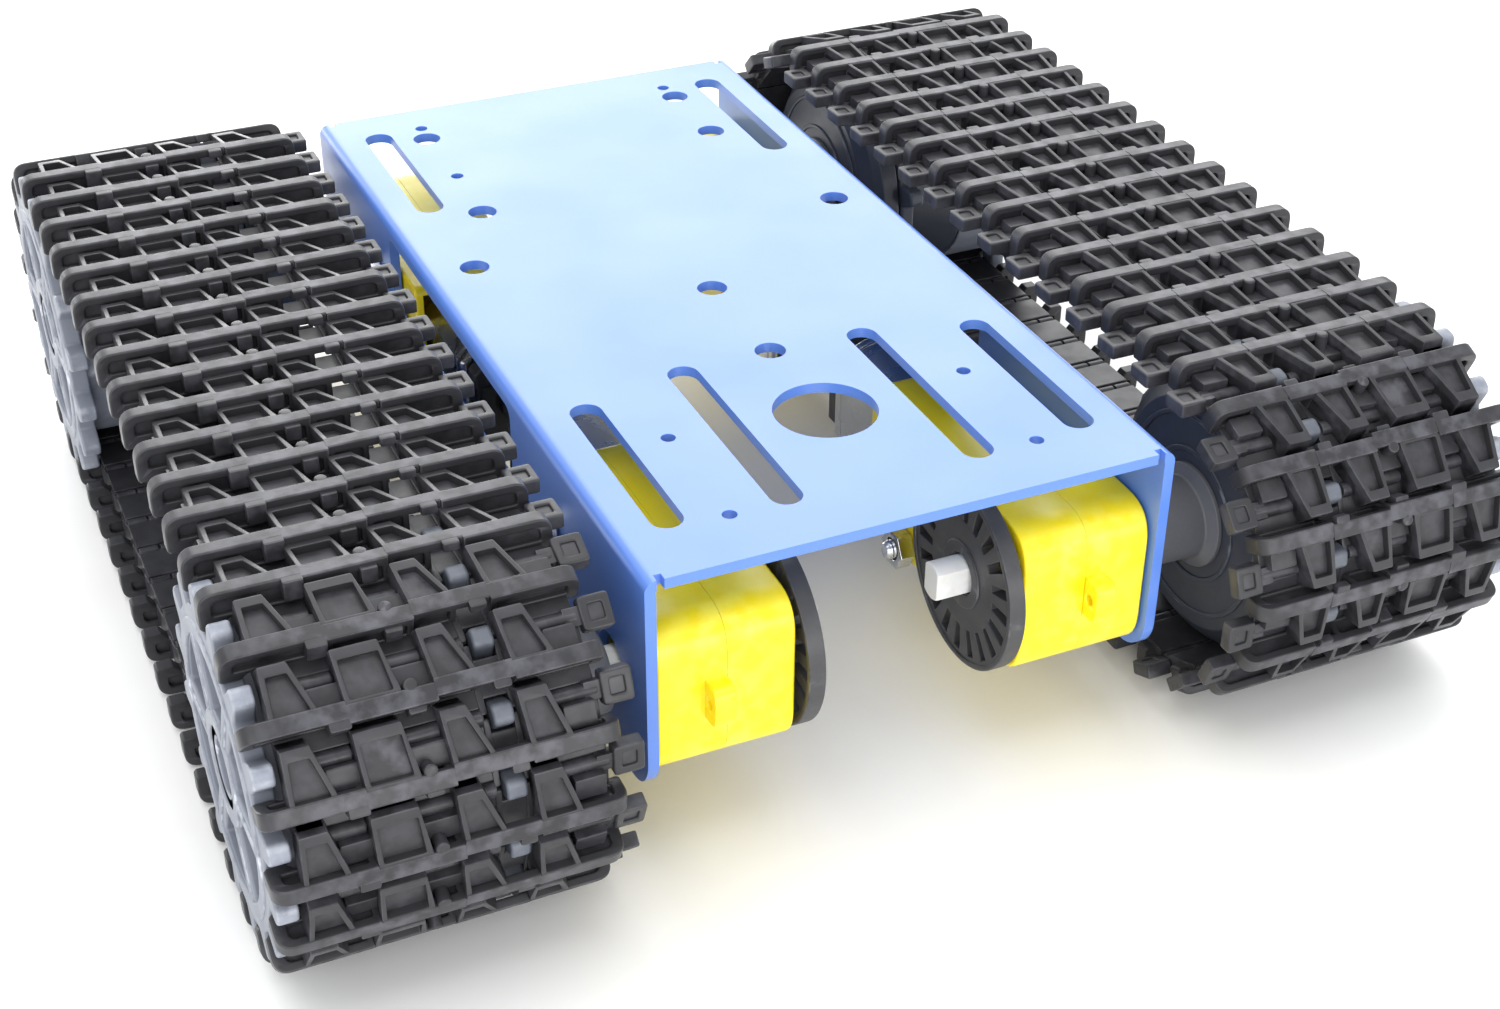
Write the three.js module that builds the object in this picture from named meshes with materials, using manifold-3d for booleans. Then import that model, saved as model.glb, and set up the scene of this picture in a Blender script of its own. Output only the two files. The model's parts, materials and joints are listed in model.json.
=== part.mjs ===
// Tracked robot chassis: a folded sheet-metal frame, four gear motors, four toothed wheels
// and two link tracks. Units are millimetres, +Z is up, the front faces -Y, +X is its side
// "right" seen from the front. The ground is Z = 0 and the frame is centred on X and Y.
import * as THREE from 'three';
import { mergeVertices } from 'three/addons/utils/BufferGeometryUtils.js';
import Module from 'manifold-3d';

const wasm = await Module();
wasm.setup();

// Fits
const GAP = 0.3; // between pieces that touch or nest
const OVER = 1; // how far a cutting shape runs past the face it cuts
const SINK = 0.5; // how far joined shapes run into each other

// Flat sides that stand for a full circle, by the size of what is round
const SIDES = { screw: 8, pin: 12, hole: 14, can: 20, drum: 16, disc: 28 };

// Track and wheel pitch
const PITCH = 8.55; // distance between two link pins
const TEETH = 16; // on each wheel ring
const RUN_LINKS = 14; // pitches between the axles
const TOOTH_STEP = (2 * Math.PI) / TEETH;
const PIN_R = PITCH / 2 / Math.sin(TOOTH_STEP / 2);
const BELT_R = PIN_R * Math.cos(TOOTH_STEP / 2); // from the axle to a flat link
const AXLE_Y = (RUN_LINKS * PITCH) / 2;

// Track link, heights measured outward from the pin line
const LINK_IN = -1;
const LINK_OUT = 0.8;
const BAR_TOP = 4;
const BAR_ROOT = 0.4;
const BAR_BRIDGE = 2.8; // underside where a bar passes over a ring of teeth
const BAR_THICK = 2.2;
const BAR_ROUND = 3;
const BAR_END_ROUND = 1.1; // at the thin outer end
const BELT_X0 = 45.1;
const BELT_X1 = 83.3;
const BAR_X0 = 44.3;
const BAR_X1 = 86.8;
const TAB = { x0: 41.5, reach: 3.9, along: 4.2, at: PITCH / 2, low: -0.6, high: 1.4 };
const TOOTH_GAP = { x0: 55.4, x1: 59.2 }; // slot between bars for the second row of teeth

// Axle and frame
const AXLE_Z = BELT_R + BAR_TOP;
const PLATE_W = 74;
const PLATE_L = 144;
const SHEET = 1.5;
const PLATE_TOP = AXLE_Z + 20.5;
const FLANGE_H = 33;
const BEND_R = 2.4;
const BEND_STEPS = 3;
const FLANGE_CORNER_R = 5.5;
const RELIEF = { wide: 2.6, narrow: 1.6, long: 1.2 };
const FLANGE_WINDOW = { y0: -23.5, y1: 32.8, top: 2.7, deep: 13.5, round: 2 };
const FLANGE_BORE_R = 4.7; // clears the output shaft
const SLOT_W = 4.4;
const SLOTS = [
  { x: 29.3, y0: -62.4, y1: -30.4 },
  { x: 13.6, y0: -63.5, y1: -26.2 },
  { x: 29.4, y0: 33.2, y1: 65 },
];
const CENTRE_HOLE = { x: 0, y: -44.6, r: 7.1 };
const HOLE_R = 2.2;
const HOLES = [
  [0, -27.1], [0, -6.9], [29.5, 13.1], [-29.5, 13.1], [-22.5, 30.3],
  [22.1, 60], [-22.1, 60], [22, 44.3],
];
const PILOT_R = 1;
const PILOTS = [
  [21.8, -42.8], [-21.8, -42.8], [21.8, -62.5], [-21.8, -62.5],
  [-22, 44.3], [21.7, 64.3], [-21.7, 64.3],
];

// Gear motor, measured from its output shaft; Y runs towards the motor
const BOX = {
  y0: -11.1, y1: 33, high: 22.5, thick: 18.8, wall: 1.3, end: 1.5, nose: 5.5, tail: 1, insideTail: 0.2,
};
const BOX_X1 = PLATE_W / 2 - SHEET - GAP;
const BOX_X0 = BOX_X1 - BOX.thick;
const BOX_MID = (BOX_X0 + BOX_X1) / 2;
const NOSE_TAB = { out: 3.2, thick: 3, high: 6 };
const SHAFT_R = 2.7;
const SHAFT_FLAT = 1.85;
const SHAFT = { x0: 8.8, x1: 45 };
const GEAR = { r: 9.1, root: 8, teeth: 14, x0: 20.5, x1: 25.5 };
const CAN = { y0: 24, y1: 49, r: 9.6, flat: 7.5 };
const CAP = { y1: 52.6, r: 8.6, flat: 6.6, spigot: 3, spigotOut: 1.2 };
const BOSS = { y: 20.3, z: 8.75, r: 2.35 };
const SCREW = { r: 1.45, hole: 1.8, headR: 2.75, head: 1.8, tip: 12.6, socketR: 1.16, socket: 1 };
const NUT = { r: 3.1, thick: 2.4 };

// Encoder disc
const DISC = { r: 13.5, x0: 13.2, thick: 2.4, slots: 20, r0: 8.2, r1: 12.3, slot0: 1.1, slot1: 1.65 };

// Wheel, X measured from the middle of the car
const RIM_R = BELT_R + LINK_IN - GAP;
const TOOTH = { sink: 0.1, root: 1.9, tip: 1.1, tipR: 23.9 };
const DRUM = { r1: 18, r0: 16.2 };
const INNER = { hub0: 38.6, face0: 50, face1: 51.6, ring0: 55.7, ring1: 58.9, end: 69.8, hubR: 5.6 };
const OUTER = { start: INNER.end + GAP, ring0: 83.8, ring1: 86.5 };
const SHAFT_BORE = { r: SHAFT_R + GAP, end: SHAFT.x1 + GAP * 2 };
const SPOKES = 6;
const SPOKE_W = 3.4;
const SPOKE_RING = { r0: 7.4, r1: 16.2, fillet: 0.6, steps: 2 };
const WHEEL_SCREW = { r: 1.5, bore: 1.8, tip: 60, headR: 3, head: 1.8, seat: 83, sink: 3.5 };
const CROSS_RECESS = { deep: 0.9, long: 2.1, half: 0.4 };

// Colour, roughness and metalness of each material
const FINISHES = {
  sheet: [0x6a9bea, 0.4, 0.2],
  housing: [0xf4e21c, 0.45, 0],
  can: [0xb4b6ba, 0.35, 0.9],
  cap: [0x26272a, 0.6, 0],
  shaft: [0xeeeeec, 0.5, 0],
  disc: [0x262729, 0.55, 0],
  wheel: [0x868a94, 0.55, 0],
  track: [0x3a3b3f, 0.65, 0],
  steel: [0xa9acb1, 0.35, 0.9],
};

function paint(name) {
  const [color, roughness, metalness] = FINISHES[name];
  return new THREE.MeshStandardMaterial({ name, color, roughness, metalness });
}

// Solids ------------------------------------------------------------------------------

function toSolid(geometry) {
  const bare = geometry.index ? geometry.toNonIndexed() : geometry.clone();
  for (const name of Object.keys(bare.attributes)) {
    if (name !== 'position') bare.deleteAttribute(name);
  }
  const welded = mergeVertices(bare, 1e-4);
  return new wasm.Manifold(new wasm.Mesh({
    numProp: 3,
    vertProperties: new Float32Array(welded.attributes.position.array),
    triVerts: new Uint32Array(welded.index.array),
  }));
}

function toMesh(name, solid, material) {
  const raw = solid.getMesh();
  const geometry = new THREE.BufferGeometry();
  geometry.setAttribute('position', new THREE.BufferAttribute(new Float32Array(raw.vertProperties), 3));
  geometry.setIndex(new THREE.BufferAttribute(new Uint32Array(raw.triVerts), 1));
  geometry.computeVertexNormals();
  const mesh = new THREE.Mesh(geometry, material);
  mesh.name = name;
  return mesh;
}

function joined(solids) {
  return solids.reduce((sum, solid) => sum.add(solid));
}

function cut(solid, tools) {
  return tools.reduce((rest, tool) => rest.subtract(tool), solid);
}

function box(x0, x1, y0, y1, z0, z1) {
  const geometry = new THREE.BoxGeometry(x1 - x0, y1 - y0, z1 - z0);
  geometry.translate((x0 + x1) / 2, (y0 + y1) / 2, (z0 + z1) / 2);
  return toSolid(geometry);
}

// A cylinder lying along X between two X values, its axis at (y, z).
function rodX(x0, x1, radius, sides, y = 0, z = 0) {
  const geometry = new THREE.CylinderGeometry(radius, radius, x1 - x0, sides);
  geometry.rotateZ(Math.PI / 2);
  geometry.translate((x0 + x1) / 2, y, z);
  return toSolid(geometry);
}

function rodZ(x, y, z0, z1, radius, sides) {
  const geometry = new THREE.CylinderGeometry(radius, radius, z1 - z0, sides);
  geometry.rotateX(Math.PI / 2);
  geometry.translate(x, y, (z0 + z1) / 2);
  return toSolid(geometry);
}

// Extrudes an outline drawn in (Y, Z) along X between two X values.
function plateX(outline, x0, x1, holes = []) {
  const shape = new THREE.Shape(outline.map(([y, z]) => new THREE.Vector2(y, z)));
  for (const hole of holes) {
    shape.holes.push(new THREE.Path(hole.map(([y, z]) => new THREE.Vector2(y, z))));
  }
  const geometry = new THREE.ExtrudeGeometry(shape, { depth: x1 - x0, bevelEnabled: false });
  const axes = new THREE.Matrix4();
  axes.set(0, 0, 1, x0, 1, 0, 0, 0, 0, 1, 0, 0, 0, 0, 0, 1);
  geometry.applyMatrix4(axes);
  return toSolid(geometry);
}

// Outline of a rectangle whose corners have their own radii, starting at (a0, b0).
function roundedOutline(a0, a1, b0, b1, radii, steps) {
  const corners = [
    [a0, b0, 1, 1, Math.PI], [a1, b0, -1, 1, Math.PI * 1.5],
    [a1, b1, -1, -1, 0], [a0, b1, 1, -1, Math.PI / 2],
  ];
  const points = [];
  corners.forEach(([a, b, sa, sb, start], index) => {
    const r = radii[index];
    for (let i = 0; i <= steps; i += 1) {
      const angle = start + (Math.PI / 2) * (i / steps);
      points.push([a + sa * r + r * Math.cos(angle), b + sb * r + r * Math.sin(angle)]);
    }
  });
  return points;
}

// A point given along and across a direction, turned to that direction.
function turned(along, across, angle) {
  return [
    along * Math.cos(angle) - across * Math.sin(angle),
    along * Math.sin(angle) + across * Math.cos(angle),
  ];
}

function polar(radius, angle) {
  return turned(radius, 0, angle);
}

// Frame ---------------------------------------------------------------------------------

// The folded sheet seen from the front, as an outline in (X, Z).
function channelOutline() {
  const half = PLATE_W / 2;
  const low = PLATE_TOP - FLANGE_H;
  const inner = BEND_R - SHEET;
  const side = [[half, low], ...bendArc(half - BEND_R, PLATE_TOP - BEND_R, BEND_R)];
  const back = [...bendArc(half - BEND_R, PLATE_TOP - BEND_R, inner).reverse(), [half - SHEET, low]];
  const mirror = (points) => points.map(([x, z]) => [-x, z]).reverse();
  return [...side, ...mirror(side), ...mirror(back), ...back];
}

function bendArc(x, z, radius) {
  const steps = BEND_STEPS;
  const points = [];
  for (let i = 0; i <= steps; i += 1) {
    const angle = (Math.PI / 2) * (i / steps);
    points.push([x + radius * Math.cos(angle), z + radius * Math.sin(angle)]);
  }
  return points;
}

function channelBlank() {
  const shape = new THREE.Shape(channelOutline().map(([x, z]) => new THREE.Vector2(x, z)));
  const geometry = new THREE.ExtrudeGeometry(shape, { depth: PLATE_L, bevelEnabled: false });
  geometry.rotateX(Math.PI / 2);
  geometry.translate(0, PLATE_L / 2, 0);
  return toSolid(geometry);
}

function slotCutter({ x, y0, y1 }) {
  const r = SLOT_W / 2;
  const z0 = PLATE_TOP - SHEET - OVER;
  const z1 = PLATE_TOP + OVER;
  return joined([
    box(x - r, x + r, y0 + r, y1 - r, z0, z1),
    rodZ(x, y0 + r, z0, z1, r, SIDES.pin),
    rodZ(x, y1 - r, z0, z1, r, SIDES.pin),
  ]);
}

function plateHole(x, y, radius, sides) {
  return rodZ(x, y, PLATE_TOP - SHEET - OVER, PLATE_TOP + OVER, radius, sides);
}

// What rounding off one lower corner of a flange takes away.
function flangeCorner(x0, x1, end) {
  const r = FLANGE_CORNER_R;
  const low = PLATE_TOP - FLANGE_H;
  const yc = end * (PLATE_L / 2 - r);
  const yEdge = end * (PLATE_L / 2 + OVER);
  const block = box(x0, x1, Math.min(yc, yEdge), Math.max(yc, yEdge), low - OVER, low + r);
  return block.subtract(rodX(x0 - OVER, x1 + OVER, r, SIDES.drum, yc, low + r));
}

function flangeCutters(side) {
  const xs = [side * (PLATE_W / 2 - SHEET - OVER), side * (PLATE_W / 2 + OVER)];
  const x0 = Math.min(...xs);
  const x1 = Math.max(...xs);
  const { y0, y1, top, deep, round } = FLANGE_WINDOW;
  const windowTop = PLATE_TOP - top;
  const windowOutline = roundedOutline(y0, y1, windowTop - deep, windowTop, Array(4).fill(round), 2);
  const tools = [plateX(windowOutline, x0, x1)];
  for (const end of [-1, 1]) {
    tools.push(flangeCorner(x0, x1, end));
    tools.push(rodX(x0, x1, FLANGE_BORE_R, SIDES.hole, end * AXLE_Y, AXLE_Z));
    for (const up of [-1, 1]) {
      const y = end * (AXLE_Y - BOSS.y);
      tools.push(rodX(x0, x1, SCREW.hole, SIDES.screw, y, AXLE_Z + up * BOSS.z));
    }
  }
  return tools;
}

// The small notch at each end of a bend, where the sheet was relieved before folding.
function reliefCutters() {
  const tools = [];
  for (const side of [-1, 1]) {
    for (const end of [-1, 1]) {
      const xs = [side * (PLATE_W / 2 - RELIEF.wide), side * (PLATE_W / 2 - RELIEF.narrow)];
      const ys = [end * (PLATE_L / 2 - RELIEF.long), end * (PLATE_L / 2 + OVER)];
      tools.push(box(
        Math.min(...xs), Math.max(...xs), Math.min(...ys), Math.max(...ys),
        PLATE_TOP - SHEET - OVER * 2, PLATE_TOP + OVER,
      ));
    }
  }
  return tools;
}

function chassis() {
  const tools = [...reliefCutters(), ...flangeCutters(-1), ...flangeCutters(1)];
  for (const slot of SLOTS) {
    tools.push(slotCutter(slot), slotCutter({ ...slot, x: -slot.x }));
  }
  tools.push(plateHole(CENTRE_HOLE.x, CENTRE_HOLE.y, CENTRE_HOLE.r, SIDES.disc));
  for (const [x, y] of HOLES) tools.push(plateHole(x, y, HOLE_R, SIDES.pin));
  for (const [x, y] of PILOTS) tools.push(plateHole(x, y, PILOT_R, SIDES.screw));
  return toMesh('chassis_frame', cut(channelBlank(), tools), paint('sheet'));
}

// Gear motor ----------------------------------------------------------------------------

function gearboxHalf(name, x0, x1, cavity0, cavity1, withTab) {
  const half = BOX.high / 2;
  const outline = roundedOutline(BOX.y0, BOX.y1, -half, half, [BOX.nose, BOX.tail, BOX.tail, BOX.nose], 3);
  const inside = half - BOX.wall;
  const noseIn = BOX.nose - BOX.wall;
  const hollow = roundedOutline(
    BOX.y0 + BOX.end, BOX.y1 + OVER, -inside, inside, [noseIn, BOX.insideTail, BOX.insideTail, noseIn], 2,
  );
  const bosses = [-1, 1].map((up) => rodX(x0, x1, BOSS.r, SIDES.pin, BOSS.y, up * BOSS.z));
  let body = plateX(outline, x0, x1).subtract(plateX(hollow, cavity0, cavity1));
  body = joined([body, ...bosses]);
  if (withTab) {
    const high = NOSE_TAB.high / 2;
    body = body.add(box(x0, x0 + NOSE_TAB.thick, BOX.y0 - NOSE_TAB.out, BOX.y0 + SINK, -high, high));
  }
  const below = x0 - OVER;
  const above = x1 + OVER;
  const holes = [-1, 1].map((up) => rodX(below, above, SCREW.hole, SIDES.screw, BOSS.y, up * BOSS.z));
  const bore = rodX(below, above, SHAFT_R + GAP, SIDES.pin);
  return toMesh(name, cut(body, [...holes, bore]), paint('housing'));
}

// A round bar along Y with two flats that face +X and -X.
function flattedRodY(y0, y1, radius, flat, sides) {
  const geometry = new THREE.CylinderGeometry(radius, radius, y1 - y0, sides);
  geometry.translate(0, (y0 + y1) / 2, 0);
  return toSolid(geometry).intersect(box(-flat, flat, y0 - OVER, y1 + OVER, -radius * 2, radius * 2));
}

function motorCan(name) {
  const can = flattedRodY(CAN.y0, CAN.y1, CAN.r, CAN.flat, SIDES.can);
  const mesh = toMesh(name, can, paint('can'));
  mesh.position.x = BOX_MID;
  return mesh;
}

function motorCap(name) {
  const y0 = CAN.y1 + GAP;
  const disc = flattedRodY(y0, CAP.y1, CAP.r, CAP.flat, SIDES.can);
  const spigot = flattedRodY(CAP.y1 - SINK, CAP.y1 + CAP.spigotOut, CAP.spigot, CAP.spigot * 2, SIDES.pin);
  const mesh = toMesh(name, disc.add(spigot), paint('cap'));
  mesh.position.x = BOX_MID;
  return mesh;
}

function outputShaft(name) {
  const far = SHAFT_R * 2;
  const bar = rodX(SHAFT.x0, SHAFT.x1, SHAFT_R, SIDES.pin)
    .intersect(box(SHAFT.x0, SHAFT.x1, -SHAFT_FLAT, SHAFT_FLAT, -far, far));
  const outline = [];
  for (let i = 0; i < GEAR.teeth * 2; i += 1) {
    outline.push(polar(i % 2 ? GEAR.root : GEAR.r, (Math.PI * i) / GEAR.teeth));
  }
  return toMesh(name, bar.add(plateX(outline, GEAR.x0, GEAR.x1)), paint('shaft'));
}

function motorScrew(name, up) {
  const seat = PLATE_W / 2 + GAP;
  const top = seat + SCREW.head;
  const head = rodX(seat, top, SCREW.headR, SIDES.pin);
  const socket = rodX(top - SCREW.socket, top + OVER, SCREW.socketR, 6);
  const body = head.add(rodX(SCREW.tip, seat + SINK, SCREW.r, SIDES.screw)).subtract(socket);
  const mesh = toMesh(name, body, paint('steel'));
  mesh.position.set(0, BOSS.y, up * BOSS.z);
  return mesh;
}

function motorNut(name, up) {
  const x1 = BOX_X0 - GAP;
  const x0 = x1 - NUT.thick;
  const body = rodX(x0, x1, NUT.r, 6).subtract(rodX(x0 - OVER, x1 + OVER, SCREW.hole, SIDES.screw));
  const mesh = toMesh(name, body, paint('steel'));
  mesh.position.set(0, BOSS.y, up * BOSS.z);
  return mesh;
}

// The motor's own up is the car's up or its down, and the fasteners are named by the car's.
function gearMotor(tag, carUp) {
  const group = new THREE.Group();
  const split = GAP / 2;
  const wall = BOX.wall;
  group.add(
    gearboxHalf(`${tag}_gearbox_inner_shell`, BOX_X0, BOX_MID - split, BOX_X0 + wall, BOX_MID, false),
    gearboxHalf(`${tag}_gearbox_outer_shell`, BOX_MID + split, BOX_X1, BOX_MID, BOX_X1 - wall, true),
    motorCan(`${tag}_motor_can`),
    motorCap(`${tag}_motor_end_cap`),
    outputShaft(`${tag}_output_shaft`),
  );
  for (const [word, up] of [['lower', -carUp], ['upper', carUp]]) {
    group.add(motorScrew(`${tag}_motor_screw_${word}`, up));
    group.add(motorNut(`${tag}_motor_nut_${word}`, up));
  }
  return group;
}

function encoderDisc(name) {
  const outline = [];
  const sides = DISC.slots * 2;
  for (let i = 0; i < sides; i += 1) outline.push(polar(DISC.r, (2 * Math.PI * (i + 0.5)) / sides));
  const holes = [];
  for (let i = 0; i < DISC.slots; i += 1) {
    const angle = (2 * Math.PI * i) / DISC.slots;
    const half0 = DISC.slot0 / 2;
    const half1 = DISC.slot1 / 2;
    const slot = [[DISC.r0, -half0], [DISC.r1, -half1], [DISC.r1, half1], [DISC.r0, half0]];
    holes.push(slot.map(([along, across]) => turned(along, across, angle)));
  }
  const bore = [];
  for (let i = 0; i < SIDES.pin; i += 1) bore.push(polar(SHAFT_R + GAP, (2 * Math.PI * i) / SIDES.pin));
  return toMesh(name, plateX(outline, DISC.x0, DISC.x0 + DISC.thick, [...holes, bore]), paint('disc'));
}

// Wheel ---------------------------------------------------------------------------------

// Outline of a toothed ring: teeth stand on the pins of the track.
function toothedOutline() {
  const rootR = RIM_R - TOOTH.sink;
  const points = [];
  for (let i = 0; i < TEETH; i += 1) {
    const angle = TOOTH_STEP * (i + 0.5);
    const knob = [
      [rootR, -TOOTH.root], [TOOTH.tipR, -TOOTH.tip],
      [TOOTH.tipR, TOOTH.tip], [rootR, TOOTH.root],
    ];
    for (const [along, across] of knob) points.push(turned(along, across, angle));
  }
  return points;
}

function tube(x0, x1, r1, r0, sides) {
  return rodX(x0, x1, r1, sides).subtract(rodX(x0 - OVER, x1 + OVER, r0, sides));
}

function wheelInnerHalf(name) {
  const body = joined([
    rodX(INNER.face0, INNER.face1, RIM_R, SIDES.disc),
    plateX(toothedOutline(), INNER.ring0, INNER.ring1)
      .subtract(rodX(INNER.ring0 - OVER, INNER.ring1 + OVER, DRUM.r0, SIDES.drum)),
    tube(INNER.face1 - SINK, INNER.end, DRUM.r1, DRUM.r0, SIDES.drum),
    rodX(INNER.hub0, INNER.end, INNER.hubR, SIDES.pin),
  ]);
  return toMesh(name, cut(body, [
    rodX(INNER.hub0 - OVER, SHAFT_BORE.end, SHAFT_BORE.r, SIDES.pin),
    rodX(WHEEL_SCREW.tip - OVER, INNER.end + OVER, WHEEL_SCREW.bore, SIDES.screw),
  ]), paint('wheel'));
}

// One rounded opening between two spokes.
function spokeWindow(index) {
  const step = (2 * Math.PI) / SPOKES;
  const middle = step * (index + 0.5);
  const points = [];
  const outer = step / 2 - (SPOKE_W / 2 + SPOKE_RING.fillet) / SPOKE_RING.r1;
  for (let i = 0; i <= SPOKE_RING.steps; i += 1) {
    points.push(polar(SPOKE_RING.r1, middle - outer + (2 * outer * i) / SPOKE_RING.steps));
  }
  const inner = step / 2 - (SPOKE_W / 2) / SPOKE_RING.r0;
  points.push(polar(SPOKE_RING.r0, middle + inner), polar(SPOKE_RING.r0, middle - inner));
  return points;
}

function wheelOuterHalf(name) {
  const windows = [];
  for (let i = 0; i < SPOKES; i += 1) {
    windows.push(plateX(spokeWindow(i), OUTER.ring0 - OVER, OUTER.ring1 + OVER));
  }
  const face = cut(plateX(toothedOutline(), OUTER.ring0, OUTER.ring1), windows);
  const body = joined([
    face,
    tube(OUTER.start, OUTER.ring0 + SINK, DRUM.r1, DRUM.r0, SIDES.drum),
    rodX(OUTER.start, OUTER.ring1, INNER.hubR, SIDES.pin),
  ]);
  return toMesh(name, cut(body, [
    rodX(OUTER.start - OVER, OUTER.ring1 + OVER, WHEEL_SCREW.bore, SIDES.screw),
    rodX(WHEEL_SCREW.seat - GAP, OUTER.ring1 + OVER, WHEEL_SCREW.sink, SIDES.pin),
  ]), paint('wheel'));
}

function wheelScrew(name) {
  const { r, tip, headR, head, seat } = WHEEL_SCREW;
  const top = seat + head;
  const { deep, long, half } = CROSS_RECESS;
  const body = rodX(seat, top, headR, SIDES.pin).add(rodX(tip, seat + SINK, r, SIDES.screw));
  const slot = box(top - deep, top + OVER, -long, long, -half, half);
  const cross = box(top - deep, top + OVER, -half, half, -long, long);
  return toMesh(name, cut(body, [slot, cross]), paint('steel'));
}

// Track ---------------------------------------------------------------------------------

// Corners of the belt polygon, moved outward from the pin line by a distance.
function beltOutline(outward) {
  const radius = (BELT_R + outward) / Math.cos(TOOTH_STEP / 2);
  const points = [];
  for (const end of [1, -1]) {
    for (let i = 0; i < TEETH / 2; i += 1) {
      const angle = -Math.PI / 2 + TOOTH_STEP * (i + 0.5) + (end < 0 ? Math.PI : 0);
      points.push([end * AXLE_Y + radius * Math.cos(angle), radius * Math.sin(angle)]);
    }
  }
  return points;
}

// Every link pin in order round the loop.
function trackPins() {
  const pins = [];
  for (const end of [1, -1]) {
    const turn = end < 0 ? Math.PI : 0;
    for (let i = 0; i < TEETH / 2; i += 1) {
      const angle = -Math.PI / 2 + TOOTH_STEP * (i + 0.5) + turn;
      pins.push({ y: end * AXLE_Y + PIN_R * Math.cos(angle), z: PIN_R * Math.sin(angle) });
    }
    for (let i = 0; i < RUN_LINKS; i += 1) {
      const fromAxle = PITCH / 2 + PITCH * i;
      pins.push({ y: end * (AXLE_Y - fromAxle), z: end * BELT_R });
    }
  }
  return pins;
}

// Turns a solid drawn about the origin, with +Z outward, so that it sits on the loop.
function onLoop(solid, y, z, angle) {
  const degrees = (angle * 180) / Math.PI - 90;
  return solid.rotate([degrees, 0, 0]).translate([0, y, z]);
}

// One tread bar, open underneath where the two rings of teeth pass.
function barSolid() {
  const r = BAR_ROUND;
  const x0 = BAR_X0;
  const outline = [
    [x0, BAR_ROOT], [TOOTH_GAP.x0, BAR_ROOT], [TOOTH_GAP.x0, BAR_BRIDGE],
    [TOOTH_GAP.x1, BAR_BRIDGE], [TOOTH_GAP.x1, BAR_ROOT],
    [BELT_X1, BAR_ROOT], [BELT_X1, BAR_BRIDGE], [BAR_X1, BAR_BRIDGE],
    [BAR_X1 - BAR_END_ROUND, BAR_TOP], [x0 + r, BAR_TOP], [x0, BAR_TOP - r],
  ];
  const shape = new THREE.Shape(outline.map(([x, z]) => new THREE.Vector2(x, z)));
  const geometry = new THREE.ExtrudeGeometry(shape, { depth: BAR_THICK, bevelEnabled: false });
  geometry.rotateX(Math.PI / 2);
  geometry.translate(0, BAR_THICK / 2, 0);
  return toSolid(geometry);
}

// One band of the belt, a polygon ring between two X values.
function band(x0, x1) {
  return plateX(beltOutline(LINK_OUT), x0, x1)
    .subtract(plateX(beltOutline(LINK_IN), x0 - OVER, x1 + OVER));
}

// The left-hand track, or the same track turned round to run on the right.
function track(name, turnedRound) {
  const bar = barSolid();
  const tab = box(
    TAB.x0, TAB.x0 + TAB.reach, TAB.at - TAB.along / 2, TAB.at + TAB.along / 2, TAB.low, TAB.high,
  );
  const pieces = [band(BELT_X0, TOOTH_GAP.x0), band(TOOTH_GAP.x1, BELT_X1)];
  const pins = trackPins();
  pins.forEach((pin, index) => {
    const next = pins[(index + 1) % pins.length];
    const y = (pin.y + next.y) / 2;
    const z = (pin.z + next.z) / 2;
    const outward = Math.atan2(next.z - pin.z, next.y - pin.y) - Math.PI / 2;
    pieces.push(onLoop(bar, y, z, outward), onLoop(tab, y, z, outward));
  });
  const left = joined(pieces).mirror([1, 0, 0]);
  const mesh = toMesh(name, turnedRound ? left.rotate([0, 0, 180]) : left, paint('track'));
  mesh.position.z = AXLE_Z;
  return mesh;
}

// Assembly ------------------------------------------------------------------------------

// Each corner is the right front corner turned half a turn about one axis, or not at all.
// up is -1 where that turn leaves the corner's own +Z pointing down.
const CORNERS = [
  { tag: 'front_right', end: -1, turn: [0, 0, 0], up: 1, encoder: true },
  { tag: 'rear_right', end: 1, turn: [Math.PI, 0, 0], up: -1, encoder: false },
  { tag: 'front_left', end: -1, turn: [0, Math.PI, 0], up: -1, encoder: true },
  { tag: 'rear_left', end: 1, turn: [0, 0, Math.PI], up: 1, encoder: false },
];

function corner({ tag, end, turn, up, encoder }) {
  const group = new THREE.Group();
  group.position.set(0, end * AXLE_Y, AXLE_Z);
  group.rotation.set(...turn);
  group.add(
    gearMotor(tag, up),
    wheelInnerHalf(`${tag}_wheel_inner_half`),
    wheelOuterHalf(`${tag}_wheel_outer_half`),
    wheelScrew(`${tag}_wheel_screw`),
  );
  if (encoder) group.add(encoderDisc(`${tag}_encoder_disc`));
  return group;
}

function build() {
  const car = new THREE.Group();
  car.name = 'tracked_robot_chassis';
  car.add(chassis());
  for (const place of CORNERS) car.add(corner(place));
  car.add(track('right_track', true), track('left_track', false));
  return car;
}

export default build();
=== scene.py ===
"""Looks of the tracked robot chassis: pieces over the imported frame, studio light and camera."""

import json
import math

import bmesh
import bpy
import numpy as np
from mathutils import Matrix, Vector


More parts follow.
